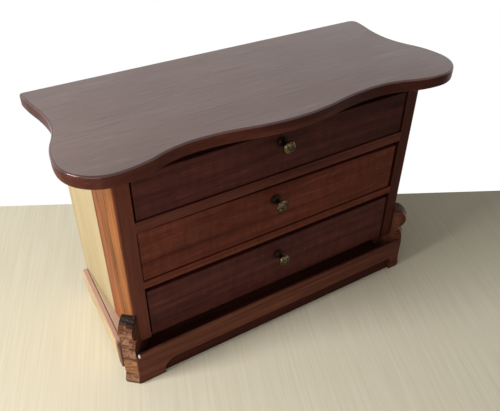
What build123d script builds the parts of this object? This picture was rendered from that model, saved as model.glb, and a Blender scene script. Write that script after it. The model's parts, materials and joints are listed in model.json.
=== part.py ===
from build123d import *

import os
from math import atan2, degrees, hypot, sqrt

# Jewellery chest: a tabletop chest of three drawers, made of thin boards.
#
# A serpentine top overhangs a plain case.  The case stands at the front on two
# scroll-sawn brackets, set across its corners, and at the back on its side
# panels.  Thin base boards stand proud of the case: one across the front, on a
# foot at each end and backed by a plinth rail, and one along each side, splayed
# out towards its bracket.  Three drawers with turned knobs run behind their
# rails.
#
# Frame: X to the right, Y to the back, Z up, in millimetres.  The origin is on
# the table, under the middle of the whole chest.

# ---------------------------------------------------------------- case
CASE_WIDTH = 240.0
CASE_DEPTH = 103.0
CASE_BOTTOM = 33.5
CASE_TOP = 175.5
SIDE_THICKNESS = 8.0
SIDE_BOTTOM = 4.0
POST_WIDTH = 11.1
POST_DEPTH = 17.0
POST_ROUND = 2.0
SIDE_BOARD_DEPTH = 25.0
JOINT_EASE = 0.5
BACK_THICKNESS = 5.0
BOTTOM_THICKNESS = 6.0

# ---------------------------------------------------------------- top board
TOP_THICKNESS = 8.6
BACK_OVERHANG = 2.0
BACK_CORNER_OVERHANG = 17.2
BACK_EDGE_SKEW = 6.0
WAIST_OVERHANG = 13.2
WAIST_SETBACK = 61.0
SIDE_LOBE_OVERHANG = 26.0
FRONT_LOBE_OVERHANG = 18.0
LOBE_RADIUS = 26.0
HOLLOW_OVERHANG = 8.4
HOLLOW_INSET = 52.0
BOW_OVERHANG = 16.4
TOP_LEFT_CORNER = 2.5
TOP_RIGHT_CORNER = 6.0
TOP_ARRIS = 0.8

# ---------------------------------------------------------------- rails and runners
UPPER_RAIL_TOP = 134.8
UPPER_RAIL_HEIGHT = 7.6
LOWER_RAIL_TOP = 86.0
LOWER_RAIL_HEIGHT = 6.0
RAIL_ARRIS = 0.5
TENON_LENGTH = 4.0
TENON_SHOULDER = 1.2
TENON_THICKNESS = 8.0
TOP_RAIL_HEIGHT = 7.8
TOP_RAIL_DEPTH = 10.0
RUNNER_WIDTH = 16.0
GUIDE_THICKNESS = 2.8
GUIDE_HEIGHT = 10.0
CLEAT_WIDTH = 10.0
STOP_LENGTH = 4.9
STOP_WIDTH = 9.0
STOP_HEIGHT = 8.0
STOP_INSET = 5.0

# ---------------------------------------------------------------- drawers
DRAWER_GAP = 1.2
RUNNING_CLEARANCE = 0.3
FRONT_THICKNESS = 8.0
FRONT_SETBACK = 0.8
FRONT_LIFT = 0.6
FRONT_ARRIS = 0.8
BOX_WALL = 5.0
BOX_HEADROOM = 6.0
LAP_DEPTH = 4.0
DRAWER_BOTTOM = 3.0
GROOVE_RISE = 3.0
GROOVE_DEPTH = 2.5
UPPER_GAP = 0.7
UPPER_SHIFT = 0.3
UPPER_KNOB_OFFSET = -1.8
MIDDLE_GAP = 0.7
MIDDLE_DROP = 3.0
MIDDLE_SHIFT = -0.6
MIDDLE_KNOB_OFFSET = -4.1
LOWER_GAP = 4.3
LOWER_SHIFT = 0.2
LOWER_KNOB_OFFSET = -0.3

# ---------------------------------------------------------------- knobs
KNOB_FLANGE = 6.4
KNOB_FLANGE_THICKNESS = 1.0
KNOB_NECK = 3.6
KNOB_NECK_START = 2.6
KNOB_NECK_END = 5.4
KNOB_HEAD = 10.0
KNOB_HEAD_BACK = 8.2
KNOB_HEAD_RIM = 1.0
KNOB_CROWN = 7.2
KNOB_CROWN_RISE = 1.0
KNOB_REACH = 12.2
KNOB_RAISE = 7.6
SCREW_SHANK = 2.4
SCREW_HOLE = 3.0
THREAD_CLEARANCE = 0.05
SCREW_DEPTH = 6.0
SCREW_HEAD = 5.6
SCREW_HEAD_HEIGHT = 1.6
SCREW_SLOT = 0.7

# ---------------------------------------------------------------- front brackets
BRACKET_INSET = 3.2
BRACKET_THICKNESS = 10.7
BRACKET_TAIL = 12.0
HEAD_TOP = (4.5, 60.5)
HEAD_CREST = (9.4, 57.0)
HEAD_NOSE = (12.8, 51.5)
HEAD_CHIN = (11.6, 46.5)
NECK = (7.6, 42.0)
BEAD = (12.2, 31.5)
WAIST = (11.0, 24.5)
SHANK = (12.0, 16.5)
ANKLE = (11.2, 9.0)
TOE = (13.5, 4.5)
SOLE = 12.5

# ---------------------------------------------------------------- base boards
BASE_TOP = 29.7
BASE_FRONT_THICKNESS = 2.6
BASE_FRONT_PROUD = 8.8
BASE_FRONT_ARRIS = 0.6
ARCH_HEIGHT = 13.2
LEFT_FOOT_WIDTH = 18.0
LEFT_ARCH_RADIUS = 10.0
RIGHT_FOOT_WIDTH = 6.0
RIGHT_ARCH_RADIUS = 3.0
PLINTH_DEPTH = 18.0
PLINTH_HEIGHT = 22.0
STRIP_THICKNESS = 3.8
STRIP_TOP = 29.5
STRIP_BOTTOM = 9.0
STRIP_FRONT_STANDOFF = 9.0
STRIP_REAR_STANDOFF = 0.6
STRIP_REAR_INSET = 0.8
STRIP_CORNER = 4.0
STRIP_EDGE = 0.6
BLOCK_LENGTH = 12.0
BLOCK_MARGIN = 2.0
FRONT_BLOCK_LENGTH = 8.0

# ---------------------------------------------------------------- worked out
HALF_CASE = CASE_WIDTH / 2
TOP_DEPTH = FRONT_LOBE_OVERHANG + CASE_DEPTH + BACK_OVERHANG
FRONT = FRONT_LOBE_OVERHANG - TOP_DEPTH / 2
CASE_BACK = FRONT + CASE_DEPTH
POST_BACK = FRONT + POST_DEPTH
PANEL_FRONT = POST_BACK + SIDE_BOARD_DEPTH
INNER_BACK = CASE_BACK - BACK_THICKNESS
HALF_OPENING = HALF_CASE - POST_WIDTH
HALF_INSIDE = HALF_CASE - SIDE_THICKNESS
CASE_FLOOR = CASE_BOTTOM + BOTTOM_THICKNESS
TOP_RAIL_LOW = CASE_TOP - TOP_RAIL_HEIGHT
UPPER_RAIL = (UPPER_RAIL_TOP - UPPER_RAIL_HEIGHT, UPPER_RAIL_TOP)
LOWER_RAIL = (LOWER_RAIL_TOP - LOWER_RAIL_HEIGHT, LOWER_RAIL_TOP)
DRAWER_FACE = FRONT + FRONT_SETBACK
STOP_FACE = INNER_BACK - STOP_LENGTH
BRACKET_X = HALF_CASE - BRACKET_INSET
BASE_FRONT_BACK = FRONT - BASE_FRONT_PROUD + BASE_FRONT_THICKNESS


def board(x, y, z):
    """A board between the low and high values given for each axis."""
    middle = Pos((x[0] + x[1]) / 2, (y[0] + y[1]) / 2, (z[0] + z[1]) / 2)
    return middle * Box(x[1] - x[0], y[1] - y[0], z[1] - z[0])


def other_side(part):
    """The same piece for the left side of the chest."""
    return mirror(part, about=Plane.YZ)


def edges_at(part, axis, where):
    """The edges that lie in the plane across the axis at the given place."""
    return part.edges().filter_by_position(axis, where - 0.01, where + 0.01)


# ---------------------------------------------------------------- top board
def wave(start, end, heading):
    """Two equal arcs that swing from one point to the next and keep the heading."""
    middle = ((start[0] + end[0]) / 2, (start[1] + end[1]) / 2)
    backward = (-heading[0], -heading[1])
    return [TangentArc(start, middle, tangent=heading), TangentArc(end, middle, tangent=backward)]


def top_edge(back):
    """Half of the top's outline, from the back corner at the given y to the middle."""
    corner = (HALF_CASE + BACK_CORNER_OVERHANG, back)
    waist = (HALF_CASE + WAIST_OVERHANG, FRONT + WAIST_SETBACK)
    lobe_side = HALF_CASE + SIDE_LOBE_OVERHANG
    lobe_front = FRONT - FRONT_LOBE_OVERHANG
    lobe_start = (lobe_side, lobe_front + LOBE_RADIUS)
    lobe_end = (lobe_side - LOBE_RADIUS, lobe_front)
    hollow = (HALF_CASE - HOLLOW_INSET, FRONT - HOLLOW_OVERHANG)
    bow = (0, FRONT - BOW_OVERHANG)
    forward = (0, -1)
    inward = (-1, 0)
    return [
        *wave(corner, waist, forward),
        *wave(waist, lobe_start, forward),
        TangentArc(lobe_start, lobe_end, tangent=forward),
        *wave(lobe_end, hollow, inward),
        *wave(hollow, bow, inward),
    ]


def top_board():
    """A flat board with hollow sides, lobed front corners and a bowed front.

    It is out of square: its back edge comes forward towards the right end, and
    the back corner is rounder there.
    """
    back = CASE_BACK + BACK_OVERHANG
    right_edge = top_edge(back - BACK_EDGE_SKEW)
    left_edge = [other_side(piece) for piece in top_edge(back)]
    back_edge = Line(left_edge[0] @ 0, right_edge[0] @ 0)
    outline = make_face([*right_edge, *left_edge, back_edge])
    outline = fillet(outline.vertices().sort_by(Axis.Y)[-2], TOP_RIGHT_CORNER)
    outline = fillet(outline.vertices().sort_by(Axis.Y)[-1], TOP_LEFT_CORNER)
    slab = Pos(0, 0, CASE_TOP) * extrude(outline, TOP_THICKNESS)
    rims = edges_at(slab, Axis.Z, CASE_TOP) + edges_at(slab, Axis.Z, CASE_TOP + TOP_THICKNESS)
    return chamfer(rims, TOP_ARRIS)


# ---------------------------------------------------------------- case sides, back, bottom
def front_post(rails):
    """The right corner post, with a soft outer corner and mortises for the rails."""
    post = board((HALF_OPENING, HALF_CASE), (FRONT, POST_BACK), (CASE_BOTTOM, CASE_TOP))
    upright = post.edges().filter_by(Axis.Z)
    outer = upright.filter_by_position(Axis.X, HALF_CASE - 0.01, HALF_CASE + 0.01)
    post = fillet(outer.sort_by(Axis.Y)[0], POST_ROUND)
    seam = edges_at(post, Axis.Y, POST_BACK).filter_by(Axis.Z).sort_by(Axis.X)[-1]
    post = chamfer(seam, JOINT_EASE)
    for rail in rails:
        post -= rail
    return post


def side_board():
    """The dark board behind the right post, flush with it and eased at both joints."""
    piece = board((HALF_INSIDE, HALF_CASE), (POST_BACK, PANEL_FRONT), (SIDE_BOTTOM, CASE_TOP))
    outer = edges_at(piece, Axis.X, HALF_CASE).filter_by(Axis.Z)
    return chamfer(outer, JOINT_EASE)


def side_panel():
    """The pale right side panel, which stands on the table."""
    piece = board((HALF_INSIDE, HALF_CASE), (PANEL_FRONT, CASE_BACK), (0, CASE_TOP))
    outer = edges_at(piece, Axis.X, HALF_CASE).filter_by(Axis.Z)
    return chamfer(outer, JOINT_EASE)


def back_panel():
    return board((-HALF_INSIDE, HALF_INSIDE), (INNER_BACK, CASE_BACK), (CASE_BOTTOM, CASE_TOP))


def bottom_board():
    """The bottom starts behind the lower drawer's front and is notched round the posts."""
    starts = DRAWER_FACE + FRONT_THICKNESS + FRONT_LIFT
    heights = (CASE_BOTTOM, CASE_FLOOR)
    panel = board((-HALF_INSIDE, HALF_INSIDE), (starts, INNER_BACK), heights)
    notch = board((HALF_OPENING, HALF_CASE), (FRONT, POST_BACK), heights)
    return panel - notch - other_side(notch)


# ---------------------------------------------------------------- rails and drawer supports
def drawer_rail(heights):
    """A rail between the posts, with a stub tenon at each end."""
    low, high = heights
    rail = board((-HALF_OPENING, HALF_OPENING), (FRONT, POST_BACK), heights)
    rail = fillet(edges_at(rail, Axis.Y, FRONT).filter_by(Axis.X), RAIL_ARRIS)
    middle = (FRONT + POST_BACK) / 2
    reach = HALF_OPENING + TENON_LENGTH
    tenons = board(
        (-reach, reach),
        (middle - TENON_THICKNESS / 2, middle + TENON_THICKNESS / 2),
        (low + TENON_SHOULDER, high - TENON_SHOULDER),
    )
    return rail + tenons


def top_rail():
    """A rail under the top, set back behind the posts, that ties the sides."""
    ends = POST_BACK + TOP_RAIL_DEPTH
    return board((-HALF_INSIDE, HALF_INSIDE), (POST_BACK, ends), (TOP_RAIL_LOW, CASE_TOP))


def top_cleat():
    """A cleat along the right side, which holds the top and keeps the drawer level."""
    starts = POST_BACK + TOP_RAIL_DEPTH
    inner = HALF_INSIDE - CLEAT_WIDTH
    return board((inner, HALF_INSIDE), (starts, INNER_BACK), (TOP_RAIL_LOW, CASE_TOP))


def runner(heights):
    """A right runner, level with its rail, from the rail to the back."""
    return board((HALF_INSIDE - RUNNER_WIDTH, HALF_INSIDE), (POST_BACK, INNER_BACK), heights)


def guide(floor):
    """A right guide strip, which stands on the runner beside the drawer."""
    inner = HALF_INSIDE - GUIDE_THICKNESS
    return board((inner, HALF_INSIDE), (POST_BACK, INNER_BACK), (floor, floor + GUIDE_HEIGHT))


def drawer_stops(floor):
    """Two stop blocks behind a drawer, one on each runner."""
    outer = HALF_OPENING - STOP_INSET
    heights = (floor, floor + STOP_HEIGHT)
    right = board((outer - STOP_WIDTH, outer), (STOP_FACE, INNER_BACK), heights)
    return Compound(children=[right, other_side(right)])


# ---------------------------------------------------------------- brackets and base boards
def front_bracket():
    """The right scroll-sawn bracket, set across the corner at 45 degrees.

    Its outline is drawn outwards from the case along the diagonal: a beaked
    head, a neck, a bead, a bulged shank and a rounded toe.  Its tail runs under
    the case, and above that its flat back touches the post's rounded corner.
    """
    back = BRACKET_INSET / sqrt(2) - POST_ROUND * (sqrt(2) - 1)
    crown = (back, HEAD_TOP[1])
    notch = (back, CASE_BOTTOM)
    ledge = (-BRACKET_TAIL, CASE_BOTTOM)
    heel = (-BRACKET_TAIL, 0)
    toe_tip = (SOLE, 0)
    outline = [
        Line(heel, toe_tip),
        ThreePointArc(toe_tip, TOE, ANKLE),
        ThreePointArc(ANKLE, SHANK, WAIST),
        ThreePointArc(WAIST, BEAD, NECK),
        ThreePointArc(NECK, HEAD_CHIN, HEAD_NOSE),
        ThreePointArc(HEAD_NOSE, HEAD_CREST, HEAD_TOP),
        Line(HEAD_TOP, crown),
        Line(crown, notch),
        Line(notch, ledge),
        Line(ledge, heel),
    ]
    across = Plane(origin=(BRACKET_X, FRONT, 0), x_dir=(1, -1, 0), z_dir=(-1, -1, 0))
    return extrude(across * make_face(outline), -BRACKET_THICKNESS)


def across_front(front, back):
    """The plan of a board across the front, mitred at both ends to the brackets."""
    return make_face(Polyline(
        (-bracket_line(front), front), (bracket_line(front), front),
        (bracket_line(back), back), (-bracket_line(back), back), close=True,
    ))


def base_front():
    """The thin front base board, with a wide foot on the left and a narrow one on the right."""
    front = FRONT - BASE_FRONT_PROUD
    reach = bracket_line(BASE_FRONT_BACK)
    ends = (LEFT_FOOT_WIDTH - reach, reach - RIGHT_FOOT_WIDTH)
    arch = board(ends, (front, BASE_FRONT_BACK), (-ARCH_HEIGHT, ARCH_HEIGHT))
    for end, radius in zip(ends, (LEFT_ARCH_RADIUS, RIGHT_ARCH_RADIUS)):
        crown = edges_at(arch, Axis.Z, ARCH_HEIGHT).filter_by(Axis.Y)
        arch = fillet(crown.filter_by_position(Axis.X, end - 0.01, end + 0.01), radius)
    piece = extrude(across_front(front, BASE_FRONT_BACK), BASE_TOP) - arch
    rim = edges_at(piece, Axis.Z, BASE_TOP).filter_by(Axis.X)
    return fillet(rim, BASE_FRONT_ARRIS)


def plinth_rail():
    """The stout rail behind the base front, which stands on the table.

    Its ends are mitred to the brackets, and hook a little way round their tails.
    """
    back = BASE_FRONT_BACK + PLINTH_DEPTH
    tail_x = BRACKET_X - BRACKET_TAIL / sqrt(2)
    tail_y = FRONT + BRACKET_TAIL / sqrt(2)
    right = [
        (bracket_line(BASE_FRONT_BACK), BASE_FRONT_BACK),
        (tail_x, tail_y),
        (tail_x + back - tail_y, back),
    ]
    left = [(-x, y) for x, y in reversed(right)]
    return extrude(make_face(Polyline(*right, *left, close=True)), PLINTH_HEIGHT)


def bracket_line(along, outer=False):
    """The x where the right bracket's inner or outer face crosses a given y.

    The faces stand at 45 degrees, so it is also the y where they cross an x.
    """
    return BRACKET_X + FRONT - along + (BRACKET_THICKNESS * sqrt(2) if outer else 0)


def strip_line():
    """The plan line of a side strip's inner face: its front and rear points."""
    front_x = HALF_CASE + STRIP_FRONT_STANDOFF
    front_y = bracket_line(front_x, outer=True)
    rear = (HALF_CASE + STRIP_REAR_STANDOFF, CASE_BACK - STRIP_REAR_INSET)
    return (front_x, front_y), rear


def base_strip():
    """The thin right base strip, rounded at its ends, from the bracket to the back."""
    (x0, y0), (x1, y1) = strip_line()
    length = hypot(x1 - x0, y1 - y0)
    turn = degrees(atan2(y1 - y0, x1 - x0))
    plate = board((0, length), (-STRIP_THICKNESS, 0), (STRIP_BOTTOM, STRIP_TOP))
    plate = fillet(plate.edges().filter_by(Axis.Y), STRIP_CORNER)
    outer = edges_at(plate, Axis.Y, -STRIP_THICKNESS)
    plate = chamfer(outer, STRIP_EDGE)
    return Pos(x0, y0, 0) * Rot(0, 0, turn) * plate


def behind_strip(y):
    """Where the right strip's inner face stands, at a given depth."""
    (x0, y0), (x1, y1) = strip_line()
    return x0 + (x1 - x0) * (y - y0) / (y1 - y0)


def glue_block(plan):
    """A block behind the right strip, set in from its top and bottom edges."""
    height = STRIP_TOP - STRIP_BOTTOM - 2 * BLOCK_MARGIN
    return Pos(0, 0, STRIP_BOTTOM + BLOCK_MARGIN) * extrude(make_face(plan), height)


def rear_block():
    """The wedge that holds the right strip's rear end off the side panel."""
    back = strip_line()[1][1] - STRIP_CORNER
    front = back - BLOCK_LENGTH
    return glue_block(Polyline(
        (HALF_CASE, back), (behind_strip(back), back),
        (behind_strip(front), front), (HALF_CASE, front), close=True,
    ))


def front_block():
    """The block in the corner between the right bracket and the strip's front end."""
    tip = strip_line()[0]
    near = bracket_line(HALF_CASE, outer=True)
    back = near + FRONT_BLOCK_LENGTH
    return glue_block(Polyline(
        tip, (behind_strip(back), back), (HALF_CASE, back), (HALF_CASE, near), close=True,
    ))


# ---------------------------------------------------------------- knobs
def knob(x, z):
    """A turned knob: flange, tapered neck, bevelled head and domed crown, bored for its screw."""
    flange = KNOB_FLANGE / 2
    neck = KNOB_NECK / 2
    head = KNOB_HEAD / 2
    crown = KNOB_CROWN / 2
    rim = KNOB_HEAD_BACK + KNOB_HEAD_RIM
    crown_start = KNOB_REACH - KNOB_CROWN_RISE
    crown_radius = (crown ** 2 + KNOB_CROWN_RISE ** 2) / (2 * KNOB_CROWN_RISE)
    outline = [
        Line((0, 0), (flange, 0)),
        Line((flange, 0), (flange, KNOB_FLANGE_THICKNESS)),
        Line((flange, KNOB_FLANGE_THICKNESS), (neck, KNOB_NECK_START)),
        Line((neck, KNOB_NECK_START), (neck, KNOB_NECK_END)),
        Line((neck, KNOB_NECK_END), (head, KNOB_HEAD_BACK)),
        Line((head, KNOB_HEAD_BACK), (head, rim)),
        Line((head, rim), (crown, crown_start)),
        RadiusArc((crown, crown_start), (0, KNOB_REACH), -crown_radius),
        Line((0, KNOB_REACH), (0, 0)),
    ]
    turned = revolve(make_face(outline), Axis.Y)
    bore_radius = SCREW_SHANK / 2 + THREAD_CLEARANCE
    bore = Pos(0, SCREW_DEPTH / 2, 0) * Rot(90, 0, 0) * Cylinder(bore_radius, SCREW_DEPTH)
    return Pos(x, DRAWER_FACE, z) * Rot(0, 0, 180) * (turned - bore)


def knob_screw(x, z):
    """The slotted screw that holds the knob from inside the drawer."""
    length = SCREW_DEPTH + FRONT_THICKNESS
    shank = Pos(0, length / 2 - SCREW_DEPTH, 0) * Rot(90, 0, 0) * Cylinder(SCREW_SHANK / 2, length)
    seat = FRONT_THICKNESS + SCREW_HEAD_HEIGHT / 2
    head = Pos(0, seat, 0) * Rot(90, 0, 0) * Cylinder(SCREW_HEAD / 2, SCREW_HEAD_HEIGHT)
    slot = Pos(0, FRONT_THICKNESS + SCREW_HEAD_HEIGHT, 0)
    slot *= Box(SCREW_HEAD, SCREW_HEAD_HEIGHT, SCREW_SLOT)
    return Pos(x, DRAWER_FACE, z) * (shank + head - slot)


# ---------------------------------------------------------------- drawers
def drawer(name, shift, front_z, drop, floor, ceiling, knob_offset):
    """One drawer: a lapped front, grooved sides, a back, a bottom and its knob.

    front_z holds the front's lower and upper edge, and drop is how much lower
    the upper edge is at the right end.  The drawer runs on the floor and under
    the ceiling, and sits the given shift off the middle.
    """
    half = HALF_OPENING - DRAWER_GAP
    inner = half - BOX_WALL
    inner_front = DRAWER_FACE + FRONT_THICKNESS
    back = STOP_FACE - RUNNING_CLEARANCE
    low = floor + RUNNING_CLEARANCE
    high = ceiling - BOX_HEADROOM
    panel_low = low + GROOVE_RISE
    panel_high = panel_low + DRAWER_BOTTOM
    panel_half = inner + GROOVE_DEPTH
    front_low, front_high = front_z
    knob_z = (front_low + front_high) / 2 + KNOB_RAISE

    face = Polyline(
        (-half, front_low), (half, front_low), (half, front_high - drop), (-half, front_high),
        close=True,
    )
    front = Pos(0, inner_front, 0) * extrude(Plane.XZ * make_face(face), FRONT_THICKNESS)
    front = fillet(edges_at(front, Axis.Y, DRAWER_FACE), FRONT_ARRIS)
    middle = inner_front - FRONT_THICKNESS / 2
    drilling = Cylinder(SCREW_HOLE / 2, FRONT_THICKNESS)
    front -= Pos(knob_offset, middle, knob_z) * Rot(90, 0, 0) * drilling
    side = board((inner, half), (inner_front - LAP_DEPTH, back), (low, high))
    groove_front = inner_front - GROOVE_DEPTH
    bottom = board((-panel_half, panel_half), (groove_front, back), (panel_low, panel_high))
    pieces = {
        "front": front - side - other_side(side) - bottom,
        "left_side": other_side(side) - bottom,
        "right_side": side - bottom,
        "back": board((-inner, inner), (back - BOX_WALL, back), (panel_high, high)),
        "bottom": bottom,
        "knob": knob(knob_offset, knob_z),
        "knob_screw": knob_screw(knob_offset, knob_z),
    }
    return {f"{name}_drawer_{part}": Pos(shift, 0, 0) * piece for part, piece in pieces.items()}


def all_drawers():
    """The three drawers, each set out from the rail or board that it runs on."""
    upper_front = (UPPER_RAIL_TOP + FRONT_LIFT, TOP_RAIL_LOW - UPPER_GAP)
    middle_front = (LOWER_RAIL_TOP + FRONT_LIFT, UPPER_RAIL[0] - MIDDLE_GAP)
    lower_front = (CASE_BOTTOM + FRONT_LIFT, LOWER_RAIL[0] - LOWER_GAP)
    return drawer(
        "upper", UPPER_SHIFT, upper_front, 0,
        UPPER_RAIL_TOP, TOP_RAIL_LOW, UPPER_KNOB_OFFSET,
    ) | drawer(
        "middle", MIDDLE_SHIFT, middle_front, MIDDLE_DROP,
        LOWER_RAIL_TOP, UPPER_RAIL[0], MIDDLE_KNOB_OFFSET,
    ) | drawer(
        "lower", LOWER_SHIFT, lower_front, 0,
        CASE_FLOOR, LOWER_RAIL[0], LOWER_KNOB_OFFSET,
    )


# ---------------------------------------------------------------- the chest
def build_chest():
    upper_rail = drawer_rail(UPPER_RAIL)
    lower_rail = drawer_rail(LOWER_RAIL)
    right_hand = {
        "front_post": front_post([upper_rail, lower_rail]),
        "side_board": side_board(),
        "side_panel": side_panel(),
        "upper_runner": runner(UPPER_RAIL),
        "lower_runner": runner(LOWER_RAIL),
        "upper_guide": guide(UPPER_RAIL_TOP),
        "middle_guide": guide(LOWER_RAIL_TOP),
        "lower_guide": guide(CASE_FLOOR),
        "top_cleat": top_cleat(),
        "front_bracket": front_bracket(),
        "base_strip": base_strip(),
        "front_block": front_block(),
        "rear_block": rear_block(),
    }
    chest = {
        "top_board": top_board(),
        "back_panel": back_panel(),
        "bottom_board": bottom_board(),
        "top_rail": top_rail(),
        "upper_drawer_rail": upper_rail,
        "lower_drawer_rail": lower_rail,
        "upper_drawer_stops": drawer_stops(UPPER_RAIL_TOP),
        "middle_drawer_stops": drawer_stops(LOWER_RAIL_TOP),
        "lower_drawer_stops": drawer_stops(CASE_FLOOR),
        "base_front": base_front(),
        "plinth_rail": plinth_rail(),
    }
    for name, piece in right_hand.items():
        chest[f"right_{name}"] = piece
        chest[f"left_{name}"] = other_side(piece)
    chest |= all_drawers()
    return chest


os.makedirs("parts", exist_ok=True)
for node, solid in build_chest().items():
    export_step(solid, f"parts/{node}.step")
    print(node, round(solid.volume, 1))
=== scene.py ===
# %% [markdown]
# # A jewellery chest of three drawers
# A small chest that stands on a table: a serpentine top, three drawers with brass
# knobs, and a low base with a scroll-sawn bracket across each front corner.  Its
# solids come ready made from CAD.  This lesson gives them their woods and metals,
# and models the pieces that want a finer shape than the CAD solids have.
#
# Everything is in metres, with Z up and the front of the chest towards -Y.

# %% Load the chest
import json
import math

import bpy
from mathutils import Matrix, Vector


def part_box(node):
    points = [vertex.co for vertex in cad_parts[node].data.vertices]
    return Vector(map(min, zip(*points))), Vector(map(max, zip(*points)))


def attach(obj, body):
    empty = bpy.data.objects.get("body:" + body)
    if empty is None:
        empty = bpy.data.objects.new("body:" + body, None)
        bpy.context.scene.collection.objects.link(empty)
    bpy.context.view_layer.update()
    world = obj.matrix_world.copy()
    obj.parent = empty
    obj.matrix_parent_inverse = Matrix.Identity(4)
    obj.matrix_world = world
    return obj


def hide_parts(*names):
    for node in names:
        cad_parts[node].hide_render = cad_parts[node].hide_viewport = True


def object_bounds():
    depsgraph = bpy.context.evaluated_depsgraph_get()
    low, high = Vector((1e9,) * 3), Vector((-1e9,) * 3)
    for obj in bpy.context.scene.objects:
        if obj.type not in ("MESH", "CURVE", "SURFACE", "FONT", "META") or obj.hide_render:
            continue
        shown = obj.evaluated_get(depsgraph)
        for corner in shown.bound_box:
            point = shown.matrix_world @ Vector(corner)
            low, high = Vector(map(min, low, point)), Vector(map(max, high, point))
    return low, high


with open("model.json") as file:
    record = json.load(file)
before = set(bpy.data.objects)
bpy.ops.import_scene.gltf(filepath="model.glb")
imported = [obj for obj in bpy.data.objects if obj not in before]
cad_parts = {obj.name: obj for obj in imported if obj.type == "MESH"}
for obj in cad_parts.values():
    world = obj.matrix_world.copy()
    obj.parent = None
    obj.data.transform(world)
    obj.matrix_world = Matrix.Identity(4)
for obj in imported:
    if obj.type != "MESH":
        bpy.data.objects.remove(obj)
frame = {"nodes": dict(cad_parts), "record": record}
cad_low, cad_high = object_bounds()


def rounded(*numbers):
    """Numbers to a tenth of a millimetre, for printing."""
    return [round(number, 4) for number in numbers]


print("CAD box", rounded(*cad_low, *cad_high))

# %% [markdown]
# ## Small helpers for modelling
# Blender's operators act on whatever is selected, and the chest arrives selected.
# So each new piece starts from an empty selection, and it ends with its place in
# its mesh: object at the origin, unturned and unscaled, as the CAD solids are.

# %% Modelling helpers
# The body that every piece rides on, apart from what goes with a drawer.
BODY = "chest"


def select_only(piece):
    """Leaves one object selected and active."""
    bpy.ops.object.select_all(action="DESELECT")
    piece.select_set(True)
    bpy.context.view_layer.objects.active = piece


def settle(piece):
    """Moves the object's place into its mesh."""
    select_only(piece)
    bpy.ops.object.transform_apply(location=True, rotation=True, scale=True)


def apply_all(piece):
    """Applies the modifiers from the top down."""
    select_only(piece)
    for name in [modifier.name for modifier in piece.modifiers]:
        bpy.ops.object.modifier_apply(modifier=name)


def edit_whole(piece):
    """Opens a piece in edit mode, with all of it selected."""
    select_only(piece)
    bpy.ops.object.mode_set(mode="EDIT")
    bpy.ops.mesh.select_all(action="SELECT")


def close_shape(sharp_from):
    """Turns the faces outwards, and smooths edges of less than sharp_from degrees."""
    bpy.ops.mesh.select_all(action="SELECT")
    bpy.ops.mesh.normals_make_consistent(inside=False)
    bpy.ops.object.mode_set(mode="OBJECT")
    bpy.ops.object.shade_smooth_by_angle(angle=math.radians(sharp_from))


def welded_copy(node, name):
    """A new piece from a CAD solid, with its loose triangles joined up."""
    mesh = frame["nodes"][node].data.copy()
    mesh.materials.clear()
    piece = bpy.data.objects.new(name, mesh)
    bpy.context.scene.collection.objects.link(piece)
    edit_whole(piece)
    bpy.ops.mesh.remove_doubles(threshold=1e-6)
    bpy.ops.mesh.normals_make_consistent(inside=False)
    bpy.ops.mesh.dissolve_limited(angle_limit=math.radians(1))
    bpy.ops.object.mode_set(mode="OBJECT")
    return piece


def measure(piece):
    """Prints how many faces a piece has, and its lowest and highest corners."""
    low, high = piece.bound_box[0], piece.bound_box[6]
    print(piece.name, "faces:", len(piece.data.polygons), rounded(*low, *high))


# %% [markdown]
# ## A recipe for wood
# Timber is a bundle of long fibres, so its pattern is noise that is stretched
# along the grain.  Four layers make it: slow bands of colour (the figure), fine
# fibres, short dark pores, and a patchy tone from years of handling.  The layers
# read the object's own coordinates, so the grain runs through a board and shows
# as dots on its ends, as it does when a plank is sawn.
#
# The grain could be painted on as a picture, but that would need a UV map for
# each board.  Nodes fit every board at once and stay sharp at any distance.

# %% Materials and nodes
def new_material(name):
    """An empty material with a Principled shader: returns it, its nodes and shader."""
    material = bpy.data.materials.new(name)
    material.use_nodes = True
    tree = material.node_tree
    tree.nodes.clear()
    output = tree.nodes.new("ShaderNodeOutputMaterial")
    shader = tree.nodes.new("ShaderNodeBsdfPrincipled")
    shader.name = "finish"
    tree.links.new(shader.outputs["BSDF"], output.inputs["Surface"])
    return material, tree, shader


def is_socket(value):
    """True for a node's socket, and False for a plain number or colour."""
    return isinstance(value, bpy.types.NodeSocket)


def plug(tree, socket, value):
    """Links another node's socket to this one, or sets this one to a plain value."""
    if is_socket(value):
        tree.links.new(value, socket)
    else:
        socket.default_value = value


def add_node(tree, kind, settings=None, **values):
    """A node with its settings, and its sockets set to values or linked to sockets."""
    node = tree.nodes.new(kind)
    for key, value in (settings or {}).items():
        setattr(node, key, value)
    for key, value in values.items():
        plug(tree, node.inputs[key], value)
    return node


# %% Sums and steps
def math_node(tree, operation, first, second, clamp=False):
    """One sum on numbers: returns the output socket."""
    node = add_node(tree, "ShaderNodeMath", {"operation": operation, "use_clamp": clamp})
    for socket, value in zip(node.inputs, (first, second)):
        plug(tree, socket, value)
    return node.outputs[0]


def vector_node(tree, operation, *values):
    """One sum on vectors: returns the node, with a Vector and a Value output."""
    node = add_node(tree, "ShaderNodeVectorMath", {"operation": operation})
    for socket, value in zip(node.inputs, values):
        plug(tree, socket, value)
    return node


def step(tree, factor, start, full):
    """A smooth step: 0 where the factor is start, 1 where it is full."""
    node = add_node(
        tree, "ShaderNodeMapRange", {"interpolation_type": "SMOOTHSTEP"},
        Value=factor, **{"From Min": start, "From Max": full},
    )
    return node.outputs["Result"]


def between(tree, factor, first, last):
    """Stretches a factor of 0 to 1 over the range from first to last."""
    node = add_node(
        tree, "ShaderNodeMapRange", Value=factor, **{"To Min": first, "To Max": last},
    )
    return node.outputs["Result"]


# %% Colours
def grey(value):
    """A colour without a hue."""
    return (value, value, value)


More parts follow.
